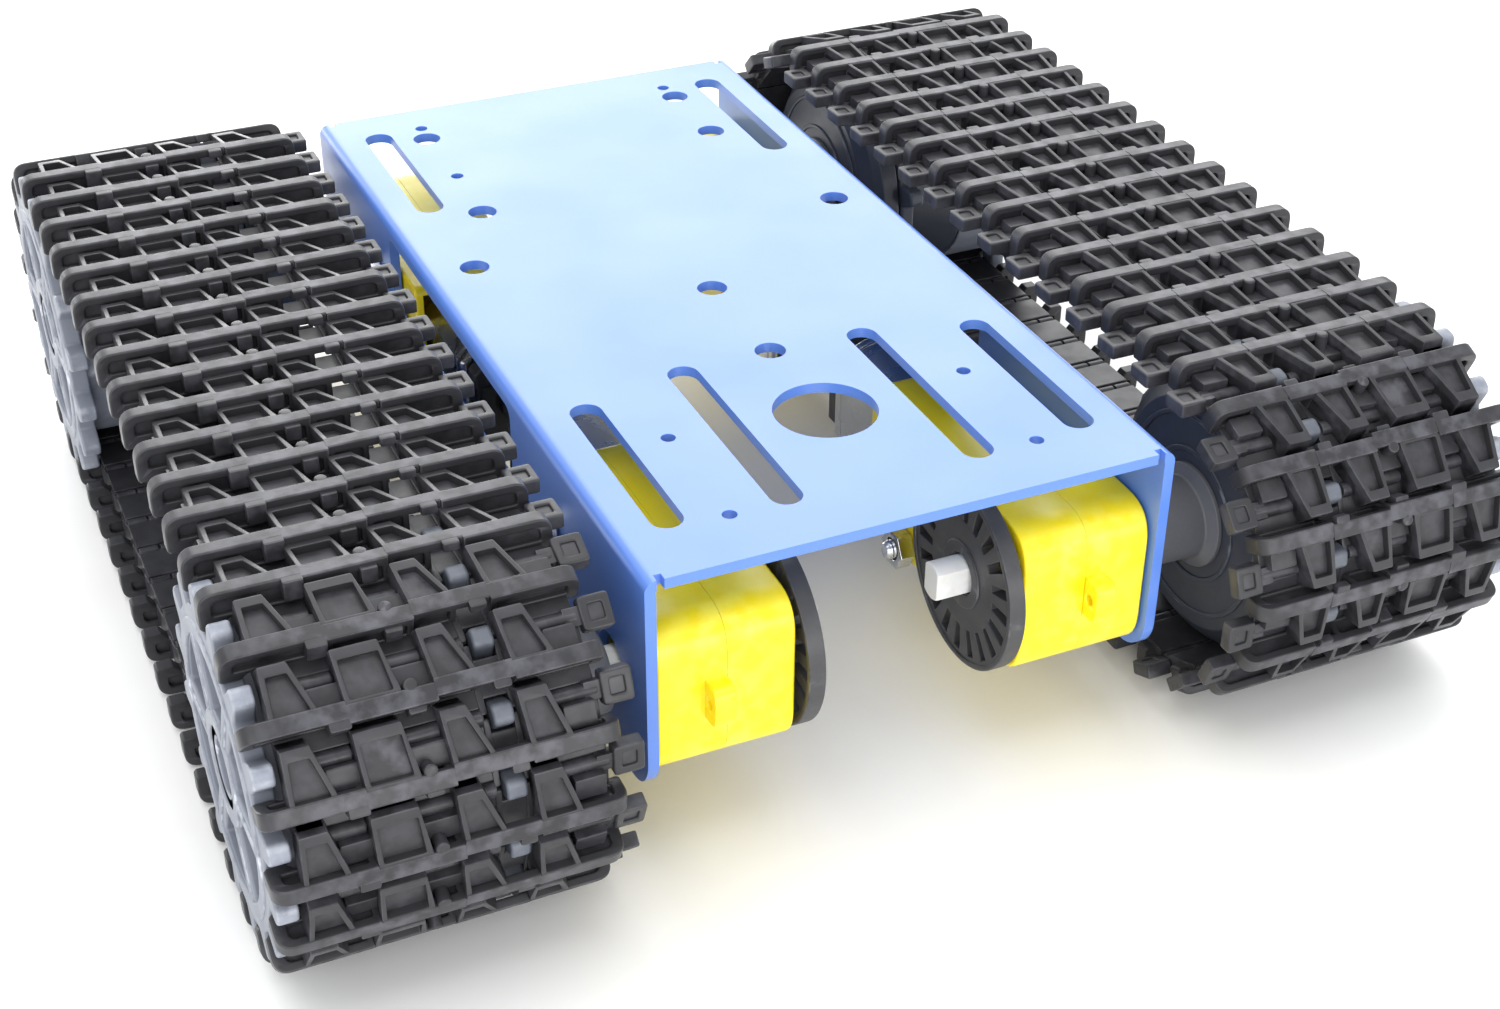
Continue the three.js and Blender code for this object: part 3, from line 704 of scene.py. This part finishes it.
def shell_mesh(x0, x1, cavity0, cavity1, with_tab):
    """Half a gearbox, open towards the other half, with bosses round the two long screws.

    It is made past the seam and cut flat there, so that the seam edge stays sharp.
    """
    past0 = SEAM_PAST if cavity0 < x0 else 0
    past1 = SEAM_PAST if cavity1 > x1 else 0
    outline = fillet(rect(BOX_Y0, BOX_Y1, -BOX_HALF, BOX_HALF), BOX_CORNERS, 8)
    shell = prism([outline], "x", x0 - past0, x1 + past1, 0.45, 3)
    beyond = (x0 - SEAM_PAST * 2, x0) if past0 else (x1, x1 + SEAM_PAST * 2)
    around = rect(BOX_Y0 - OVER, BOX_Y1 + OVER, -12, 12)
    shell = boolean(shell, [plain_prism(around, "x", *beyond)])
    half = BOX_HALF - WALL
    hollow = fillet(rect(BOX_Y0 + NOSE_WALL, BOX_Y1 + OVER, -half, half), HOLLOW_CORNERS, 6)
    shell = boolean(shell, [plain_prism(hollow, "x", cavity0, cavity1)])
    bosses = [circle(BOSS_Y, up * BOSS_Z, BOSS_R, 24) for up in (1, -1)]
    bosses = [plain_prism(boss, "x", x0 + 0.4, x1 - 0.4) for boss in bosses]
    shell = boolean(shell, bosses, "UNION")
    bores = [circle(0, 0, SHAFT_BORE_R, 32)]
    bores += [circle(BOSS_Y, up * BOSS_Z, SCREW_BORE_R, 20) for up in (1, -1)]
    shell = boolean(shell, [plain_prism(bore, "x", x0 - OVER, x1 + OVER) for bore in bores])
    return joined([shell, nose_tab_mesh(x0)] if with_tab else [shell])


def nose_tab_mesh(x0):
    half = NOSE_TAB["half"]
    tip = BOX_Y0 - NOSE_TAB["out"]
    root = BOX_Y0 + NOSE_TAB["into"]
    corner = NOSE_TAB["round"]
    outline = fillet(rect(tip, root, -half, half), [corner, 0, 0, corner], 5)
    hole = circle(BOX_Y0 - 1.2, 0, NOSE_TAB["hole"], 20)
    return prism([outline, hole], "x", x0, x0 + NOSE_TAB["thick"], 0.3, 2)


def flatted(radius, flat, steps=36):
    """A circle with two flats that face the ends of its first axis."""
    edge = math.acos(flat / radius)
    points = []
    for start in (edge, edge + math.pi):
        points += arc(0, 0, radius, np.linspace(start, start + math.pi - 2 * edge, steps))
    return points


def flatted_prism(size, bevel, segments):
    outline = flatted(size["r"], size["flat"])
    return prism([outline], "y", size["y0"], size["y1"], bevel, segments)


def can_mesh():
    parts = [flatted_prism(CAN, 0.9, 4), flatted_prism(CAN_BAND, 0.12, 1)]
    return moved(joined(parts), Matrix.Translation((BOX_MID, 0, 0)))


def cap_mesh():
    plate = flatted_prism(CAP, 0.5, 3)
    spigot = prism([circle(0, 0, SPIGOT["r"], 36)], "y", SPIGOT["y0"], SPIGOT["y1"], 0.35, 3)
    ribs = []
    for side in (1, -1):
        x = side * CAP_RIB["x"]
        outline = rect(x - CAP_RIB["half"], x + CAP_RIB["half"], -CAP_RIB["high"], CAP_RIB["high"])
        ribs.append(prism([fillet(outline, 0.6)], "y", CAP_RIB["y0"], CAP_RIB["y1"], 0.2, 2))
    return moved(joined([plate, spigot, *ribs]), Matrix.Translation((BOX_MID, 0, 0)))


def shaft_mesh():
    """The shaft, its flats facing +Y and -Y, with the last gear of the gearbox."""
    bar = prism([flatted(SHAFT["r"], SHAFT["flat"], 14)], "x", SHAFT["x0"], SHAFT["x1"], 0.3, 3)
    flank = ((-0.3, GEAR["root"]), (-0.12, GEAR["tip"]), (0.12, GEAR["tip"]), (0.3, GEAR["root"]))
    outline = []
    for i in range(GEAR["teeth"]):
        for k, r in flank:
            a = 2 * math.pi * (i + k) / GEAR["teeth"]
            outline.append((r * math.cos(a), r * math.sin(a)))
    return joined([bar, prism([fillet(outline, 0.3, 2)], "x", GEAR["x0"], GEAR["x1"], 0.2, 2)])


def screw_head(size, radii, steps, sides):
    """A round head from its seat to its top, with rounded edges."""
    seat, top, radius = size["seat"], size["top"], size["head"]
    outline = [(seat, 0), (seat, radius), (top, radius), (top, 0)]
    return lathe(fillet(outline, radii, steps), sides)


def motor_screw_mesh(up):
    hexagon = circle(0, 0, MOTOR_SOCKET["r"], 6)
    socket = plain_prism(hexagon, "x", MOTOR_SOCKET["floor"], MOTOR_SOCKET["past"])
    head = boolean(screw_head(MOTOR_SCREW, [0, 0.15, 0.5, 0], 4, 40), [socket])
    bar = thread(MOTOR_SCREW["tip"], MOTOR_SCREW["root"], MOTOR_SCREW["r"], 0.5)
    return moved(joined([head, bar]), Matrix.Translation((0, BOSS_Y, up * BOSS_Z)))


def thread(x0, x1, radius, pitch):
    """A threaded bar as close rings."""
    depth = 0.14
    profile = [(x0, 0), (x0, radius - 0.4), (x0 + 0.4, radius - depth)]
    x = x0 + 0.5
    while x < x1 - pitch:
        profile += [(x, radius - depth), (x + pitch * 0.5, radius)]
        x += pitch
    profile += [(x1, radius - depth), (x1, 0)]
    return lathe(profile, 20)


def nut_mesh(up):
    outline = fillet(circle(0, 0, NUT["r"], 6), 0.25, 2)
    body = prism([outline, circle(0, 0, NUT["bore"], 24)], "x", NUT["x0"], NUT["x1"], 0.25, 2)
    return moved(body, Matrix.Translation((0, BOSS_Y, up * BOSS_Z)))


def ring_profile(x0, x1, r0, r1):
    """Corners (x, radius) of a plain ring, for a closed lathe."""
    return [(x0, r0), (x0, r1), (x1, r1), (x1, r0)]


def disc_mesh():
    x0 = DISC_X0
    x1 = DISC_X0 + DISC_THICK
    holes = [circle(0, 0, 2.95, 28)]
    for i in range(DISC_SLOTS):
        angle = 2 * math.pi * i / DISC_SLOTS
        slot = [turned(u, v, angle) for u, v in DISC_SLOT]
        holes.append(fillet(slot, 0.2, 2))
    plate = prism([circle(0, 0, DISC_R - 0.1, 96), *holes], "x", x0 + 0.25, x1 - 0.25, 0.15, 2)
    rim = lathe(fillet(ring_profile(x0, x1, 12.75, DISC_R), 0.22, 3), 96, True)
    collar = lathe(fillet(ring_profile(x0, x1, 3.1, 4.9), 0.25, 3), 48, True)
    return joined([plate, rim, collar])


# Wheels --------------------------------------------------------------------------------

def toothed():
    """Outline in (Y, Z) of a ring of rounded knobs."""
    points = []
    radii = []
    for i in range(TEETH):
        middle = TOOTH_STEP * (i + 0.5)
        for along, aside, r in KNOB:
            points.append(turned(along, aside, middle))
            radii.append(r)
        points.append(turned(RIM_R, 0, middle + TOOTH_STEP / 2))
        radii.append(0)
    return fillet(points, radii, 4)


def spoke_windows():
    """The openings between the spokes, each from the rim arc back along the hub arc."""
    step = 2 * math.pi / SPOKES
    outer = step / 2 - 1.9 / WINDOW_RIM_R
    inner = step / 2 - 1.7 / WINDOW_HUB_R
    radii = [1.4, *[0] * 7, 1.4, 0.7, *[0] * 2, 0.7]
    windows = []
    for i in range(SPOKES):
        middle = step * (i + 0.5)
        rim = arc(0, 0, WINDOW_RIM_R, middle + np.linspace(-outer, outer, 9))
        hub = arc(0, 0, WINDOW_HUB_R, middle + np.linspace(inner, -inner, 4))
        windows.append(fillet(rim + hub, radii, 5))
    return windows


def outer_half_mesh():
    """The toothed face with its spokes, on a drum and a hub that reach in to the inner half."""
    face0, face1 = OUTER_FACE
    top = OUTER_PROUD
    face = prism([toothed(), *spoke_windows(), circle(0, 0, 3.6, 32)], "x", face0, face1, 0.4, 3)
    drum = lathe(fillet(ring_profile(OUTER_X0, 84.2, *DRUM_RADII), 0.3, 3), 96, True)
    hub_profile = [
        (OUTER_X0, 1.8), (OUTER_X0, 5.6), (face1, 5.6), (face1, 3.6), (83, 3.6), (83, 1.8),
    ]
    hub = lathe(fillet(hub_profile, 0.3, 3), 56, True)
    lip = lathe(fillet(rect(84.1, top, *LIP_RADII), 0.35, 3), 96, True)
    hub_ring = lathe(fillet(rect(84.1, top, *HUB_RING_RADII), 0.35, 3), 56, True)
    outline = fillet(rect(RIB["r0"], RIB["r1"], -RIB["half"], RIB["half"]), 0.2, 2)
    ribs = []
    for i in range(SPOKES):
        rib = prism([outline], "x", RIB["x0"], top, 0.25, 2)
        ribs.append(moved(rib, Matrix.Rotation(2 * math.pi * i / SPOKES, 4, "X")))
    return joined([face, drum, hub, lip, hub_ring, *ribs])


def inner_dish_mesh():
    """The dish and hub of the inner half, with two low rings on the side facing the frame."""
    dish = lathe(fillet(DISH_PROFILE, DISH_RADII, 3), 96)
    rings = [
        lathe(fillet(ring_profile(49.7, 50.4, r - 0.35, r + 0.35), 0.2, 3), 96, True)
        for r in DISH_RINGS
    ]
    return joined([dish, *rings])


def hub_sleeve_mesh():
    return lathe(fillet(SLEEVE_PROFILE, [0.2, 0.4, 0.5, 0.3, 0, 0], 3), 64, True)


def inner_teeth_mesh():
    return prism([toothed(), circle(0, 0, 17.6, 72)], "x", *INNER_RING, 0.5, 3)


def wheel_screw_mesh():
    long, half = CROSS["long"], CROSS["half"]
    bars = [
        plain_prism(outline, "x", CROSS["floor"], CROSS["past"])
        for outline in (rect(-long, long, -half, half), rect(-half, half, -long, long))
    ]
    head = boolean(screw_head(WHEEL_SCREW, [0, 0.2, 0.8, 0], 5, 48), bars)
    return joined([head, thread(WHEEL_SCREW["tip"], WHEEL_SCREW["root"], WHEEL_SCREW["r"], 0.7)])


def make_corners():
    inner_shell = shell_mesh(BOX_X0, BOX_MID - SEAM_HALF, BOX_X0 + WALL, BOX_MID + OVER, False)
    outer_shell = shell_mesh(BOX_MID + SEAM_HALF, BOX_X1, BOX_MID - OVER, BOX_X1 - WALL, True)
    plain = [
        ("gearbox_inner_shell", inner_shell, "frame", YELLOW_PLASTIC, "housing"),
        ("gearbox_outer_shell", outer_shell, "frame", YELLOW_PLASTIC, "housing"),
        ("motor_can", can_mesh(), "frame", CAN_STEEL, "can"),
        ("motor_end_cap", cap_mesh(), "frame", CAP_PLASTIC, "cap"),
        ("output_shaft", shaft_mesh(), "wheel", WHITE_PLASTIC, "shaft"),
        # the inner half takes the wheel plastic darkened as painted shade
        ("wheel_inner_half", inner_dish_mesh(), "wheel", DISH_PLASTIC_PAINTED_SHADE, "wheel"),
        ("wheel_outer_half", outer_half_mesh(), "wheel", WHEEL_PLASTIC, "wheel"),
        ("wheel_screw", wheel_screw_mesh(), "wheel", ZINC_STEEL, "steel"),
    ]
    teeth = inner_teeth_mesh()
    sleeve = hub_sleeve_mesh()
    disc = disc_mesh()
    screws = {up: motor_screw_mesh(up) for up in (1, -1)}
    nuts = {up: nut_mesh(up) for up in (1, -1)}
    for tag, (_, _, car_up) in CORNERS.items():
        place = corner_matrix(tag)
        wheel = f"{tag}_wheel"
        for word, mesh, body, material, slot in plain:
            node = f"{tag}_{word}"
            rides = wheel if body == "wheel" else "frame"
            piece(f"{node}_look", moved(mesh, place), rides, material, [node])
        # the inner ring of knobs takes the wheel plastic darkened as painted shade
        piece(f"{tag}_wheel_inner_teeth_look", moved(teeth, place), wheel, KNOB_PLASTIC_PAINTED_SHADE)
        piece(f"{tag}_wheel_hub_look", moved(sleeve, place), wheel, HUB_PLASTIC)
        if tag.startswith("front"):
            node = f"{tag}_encoder_disc"
            piece(f"{node}_look", moved(disc, place), wheel, DISC_PLASTIC, [node])
        for word, up in (("lower", -car_up), ("upper", car_up)):
            for kind, meshes in (("screw", screws), ("nut", nuts)):
                node = f"{tag}_motor_{kind}_{word}"
                mesh = moved(meshes[up], place)
                piece(f"{node}_look", mesh, "frame", ZINC_STEEL, [node])


# Tracks --------------------------------------------------------------------------------

def across(u):
    """X on the right track at a share u of its width from the outer edge."""
    return TRACK_X1 - TRACK_W * u


def block(u0, u1, s0, s1, n0, n1):
    return prism([fillet(rect(across(u1), across(u0), s0, s1), 0.3, 2)], "z", n0, n1, 0.18, 1)


def bar_segments():
    """The four runs of the tread bar, each a rail round a thinner web, stepped along the travel."""
    top = BAR_TOP
    outer = fillet(
        [(74.7, 0.3), (83.3, 0.3), (84.3, -0.9), (86.5, -0.9), (86.8, -0.5), (86.8, top),
         (74.7, top)],
        [0, 0.4, 0.4, 0.3, 0.2, 4.6, 0], 8,
    )
    outer_hole = fillet(rect(75.5, 85.2, 0.9, 2.75), [0.3, 0.3, 2.2, 0.3], 5)
    second = rect(64.5, 74.75, 0.3, 3.95)
    second_hole = fillet(rect(65.3, 73.9, 0.9, 2.7), 0.3, 2)
    third = [(55.3, 2.7), (59.3, 2.7), (59.3, 0.3), (64.55, 0.3), (64.55, top), (55.3, top)]
    third_hole = fillet(rect(60.1, 63.7, 0.9, 2.75), 0.3, 2)
    inner = fillet(
        [(44.3, -0.4), (46.3, -0.4), (47.4, 0.3), (55.35, 0.3), (55.35, 3.95), (44.3, 3.95)],
        [0.5, 0.4, 0.3, 0, 0, 3.6], 8,
    )
    inner_hole = fillet(rect(45.8, 54.5, 0.9, 2.7), [0.3, 0.3, 0.3, 1.9], 5)
    runs = [
        (outer, outer_hole, (75.1, 85.4), (-1.1, 1.1)),
        (second, second_hole, (64.9, 74.3), (-1.6, 0.65)),
        (third, third_hole, (59.7, 64.1), (-1.1, 1.1)),
        (inner, inner_hole, (45.6, 54.9), (-1.45, 0.8)),
    ]
    parts = []
    for rail, hole, web, (s0, s1) in runs:
        parts.append(prism([rail, hole], "y", s0, s1, 0.25, 2))
        parts.append(prism([rect(*web, 0.6, 3.05)], "y", s0 + 0.7, s1 - 0.7, 0.1, 1))
    return parts


def finger(base0, base1, tip0, tip1):
    """A tapered plate with a sunk pocket, reaching from the bar over the next pin."""
    outside = [
        (across(base1), FINGER_ROOT), (across(base0), FINGER_ROOT),
        (across(tip0), FINGER_REACH), (across(tip1), FINGER_REACH),
    ]
    inside = [
        (across(base1 - RIM["base1"]), FINGER_ROOT + 0.5),
        (across(base0 + RIM["base0"]), FINGER_ROOT + 0.5),
        (across(tip0 + RIM["tip0"]), POCKET_END),
        (across(tip1 - RIM["tip1"]), POCKET_END),
    ]
    rim = prism([fillet(outside, 0.25, 2), fillet(inside, 0.2, 2)], "z", -0.8, 2.85, 0.16, 1)
    floor = prism([outside], "z", -0.7, 1.75, 0.1, 1)
    drop = FINGER_SLOPE
    lean = Matrix(((1, 0, 0, 0), (0, 1, 0, 0), (0, -drop, 1, drop * FINGER_REACH), (0, 0, 0, 1)))
    return [moved(part, lean) for part in (rim, floor)]


def knuckle(u0, u1, s):
    """A short barrel round a pin."""
    x0, x1, r = across(u1), across(u0), KNUCKLE_R
    barrel = lathe(fillet([(x0, 0), (x0, r), (x1, r), (x1, 0)], [0, 0.2, 0.2, 0], 2), 16)
    return moved(barrel, Matrix.Translation((0, s, 0)))


def link_pin(u0, u1, s):
    x0, x1, r = across(u1), across(u0), LINK_PIN_R
    return moved(lathe([(x0, 0), (x0, r), (x1, r), (x1, 0)], 12), Matrix.Translation((0, s, 0)))


def boss():
    """The round boss that stands up beside the bar."""
    n0, n1, r = BOSS["n0"], BOSS["n1"], BOSS["r"]
    post = lathe(fillet([(n0, 0), (n0, r), (n1, r), (n1, 0)], [0, 0.1, 0.3, 0], 3), 24)
    upright = Matrix.Rotation(-math.pi / 2, 4, "Y")
    return moved(post, Matrix.Translation((across(BOSS["u"]), BOSS["s"], 0)) @ upright)


def tread_mesh():
    """The bar of one link with its tapered plates."""
    parts = bar_segments()
    for shape in FINGERS:
        parts += finger(*shape)
    return joined(parts)


def link_frame_mesh():
    """The rest of one link: its web, small blocks, pin barrels, pins and side lug."""
    half = PITCH / 2
    parts = [block(*size) for size in BLOCKS]
    parts.append(boss())
    parts += [knuckle(*span, half) for span in BACK_KNUCKLES]
    parts += [knuckle(*span, -half) for span in FRONT_KNUCKLES]
    parts += [link_pin(*span, half) for span in LINK_PINS]
    parts += side_lug(half)
    return joined(parts)


def side_lug(s):
    """The square lug on the side of the frame, with its sunk middle and its neck."""
    x0, x1, half, wall = LUG["x0"], LUG["x1"], LUG["half"], LUG["wall"]
    outside = fillet(rect(x0, x1, s - half, s + half), 0.45, 2)
    inside = fillet(rect(x0 + 1.0, x1 - wall, s - half + wall, s + half - wall), 0.25, 2)
    sunk = rect(x0 + 0.4, x1 - 0.4, s - half + 0.4, s + half - 0.4)
    neck = rect(44.8, 47.4, s - 1.2, s + 1.2)
    return [
        prism([outside, inside], "z", -0.6, 1.4, 0.25, 2),
        prism([sunk], "z", -0.4, 1.05, 0.1, 1),
        prism([neck], "z", -0.5, 0.9, 0.2, 1),
    ]


def track_pins():
    """The pins round the right loop, in (Y, Z) from the height of the axles."""
    pins = []
    for end in (1, -1):
        turn = math.pi if end < 0 else 0
        for i in range(TEETH // 2):
            a = -math.pi / 2 + TOOTH_STEP * (i + 0.5) + turn
            pins.append((end * AXLE_Y + PIN_R * math.cos(a), PIN_R * math.sin(a)))
        for i in range(RUN_LINKS):
            pins.append((end * (AXLE_Y - PITCH / 2 - PITCH * i), end * BELT_R))
    return pins


def link_places():
    """The matrix of each link round the loop, from its own (x, s, n) to the frame."""
    pins = track_pins()
    places = []
    for i, (y0, z0) in enumerate(pins):
        y1, z1 = pins[(i + 1) % len(pins)]
        length = math.hypot(y1 - y0, z1 - z0)
        dy = (y1 - y0) / length
        dz = (z1 - z0) / length
        places.append(Matrix((
            (1, 0, 0, 0),
            (0, -dy, dz, (y0 + y1) / 2),
            (0, -dz, -dy, (z0 + z1) / 2 + AXLE_Z),
            (0, 0, 0, 1),
        )))
    return places


def make_tracks():
    """Each track is two pieces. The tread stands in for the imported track."""
    places = link_places()
    mirror = Matrix.Scale(-1, 4, (1, 0, 0))
    half_turn = Matrix.Rotation(math.pi, 4, "Z")
    kinds = (("tread", tread_mesh(), True), ("links", link_frame_mesh(), False))
    for word, link, stands_in in kinds:
        left = moved(joined([moved(link, place) for place in places]), mirror)
        for side, mesh in (("right", moved(left, half_turn)), ("left", left)):
            nodes = [f"{side}_track"] if stands_in else []
            piece(f"{side}_track_{word}_look", mesh, "frame", TRACK_PLASTIC, nodes)


# Studio --------------------------------------------------------------------------------

def make_floor():
    bpy.ops.mesh.primitive_plane_add(size=8, location=(0, 0, -0.0002))
    floor = bpy.context.object
    floor.name = "studio_floor"
    paper = bpy.data.materials.new("studio_paper")
    n = Nodes(paper)
    tint = n.blend(n.ramp(n.noise(30, 5), 0.3, 0.7), srgb(246, 245, 243), srgb(250, 250, 249))
    n.link(tint, n.shader.inputs["Base Color"])
    n.shader.inputs["Roughness"].default_value = 0.7
    n.link(n.bump(n.noise(900, 3), 0.1, 0.00005), n.shader.inputs["Normal"])
    floor.data.materials.append(paper)


def make_light(name, place, target, size, power):
    data = bpy.data.lights.new(name, "AREA")
    data.shape = "RECTANGLE"
    data.size = size[0]
    data.size_y = size[1]
    data.energy = power
    lamp = bpy.data.objects.new(name, data)
    lamp.location = place
    lamp.rotation_mode = "QUATERNION"
    lamp.rotation_quaternion = (Vector(target) - Vector(place)).to_track_quat("-Z", "Y")
    bpy.context.scene.collection.objects.link(lamp)


def make_studio():
    world = bpy.data.worlds.new("studio_world")
    world.use_nodes = True
    background = world.node_tree.nodes["Background"]
    background.inputs["Color"].default_value = (0.97, 0.985, 1, 1)
    background.inputs["Strength"].default_value = 1.0
    scene = bpy.context.scene
    scene.world = world
    for light in LIGHTS:
        make_light(*light)
    scene.view_settings.view_transform = "Standard"
    scene.view_settings.look = "None"


def make_camera():
    data = bpy.data.cameras.new("photo_camera")
    data.lens = LENS
    data.sensor_width = SENSOR_WIDTH
    data.clip_start = 0.01
    data.clip_end = 20
    camera = bpy.data.objects.new("photo_camera", data)
    right, down, forward = Vector(CAMERA_RIGHT), Vector(CAMERA_DOWN), Vector(CAMERA_FORWARD)
    turn = Matrix((right, -down, -forward)).transposed().to_4x4()
    camera.matrix_world = Matrix.Translation(CAMERA_PLACE) @ turn
    bpy.context.scene.collection.objects.link(camera)
    bpy.context.scene.camera = camera


make_chassis()
make_corners()
make_tracks()
make_floor()
make_studio()
make_camera()

bpy.context.view_layer.update()
